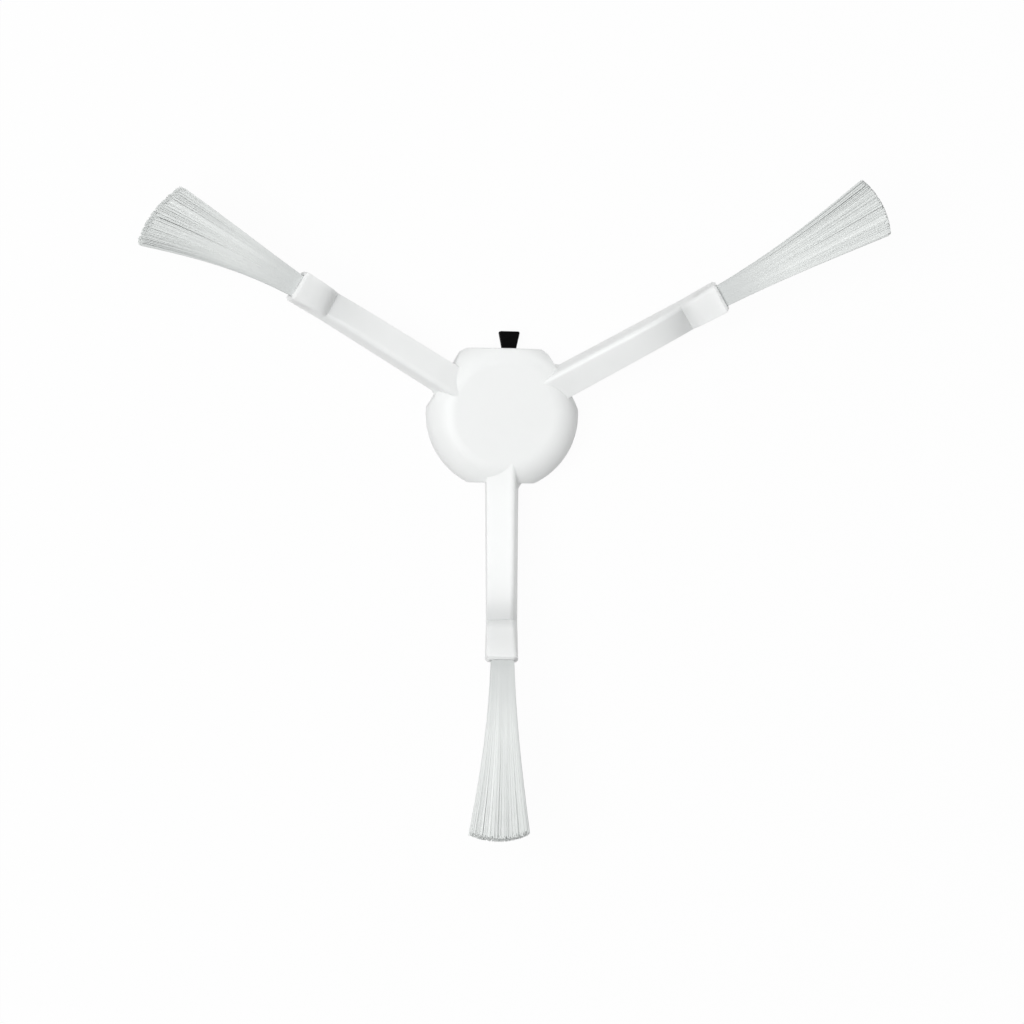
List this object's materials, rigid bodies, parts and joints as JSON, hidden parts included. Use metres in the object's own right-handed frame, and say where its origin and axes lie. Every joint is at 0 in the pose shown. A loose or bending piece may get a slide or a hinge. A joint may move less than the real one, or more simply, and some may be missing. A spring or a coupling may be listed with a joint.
{
  "type": "robot vacuum side brush",
  "caption": "Side brush of a robot vacuum cleaner: a domed hub with sloping arms, a fanned tuft of nylon bristles at the end of each arm, and a keyed drive socket in the back.",
  "frame": {"origin": "on the drive axis, in the plane of the hub's rim, at the mouth of the drive socket", "axes": "+Z along the drive axis from the socket to the dome, towards the floor that is swept; the key tab points to +Y, one arm to -Y and the others to the upper left and upper right"},
  "size_m": [0.1513, 0.1323, 0.0248],
  "materials": {
    "white_plastic": "satin white moulding",
    "black_plastic": "matt black moulding",
    "nylon_bristle": "translucent pale grey filaments"
  },
  "bodies": {
    "root": {"brush_body": "white_plastic", "drive_bush": "black_plastic", "bristle_tuft_right": "nylon_bristle", "bristle_tuft_left": "nylon_bristle", "bristle_tuft_front": "nylon_bristle"}
  },
  "joints": []
}
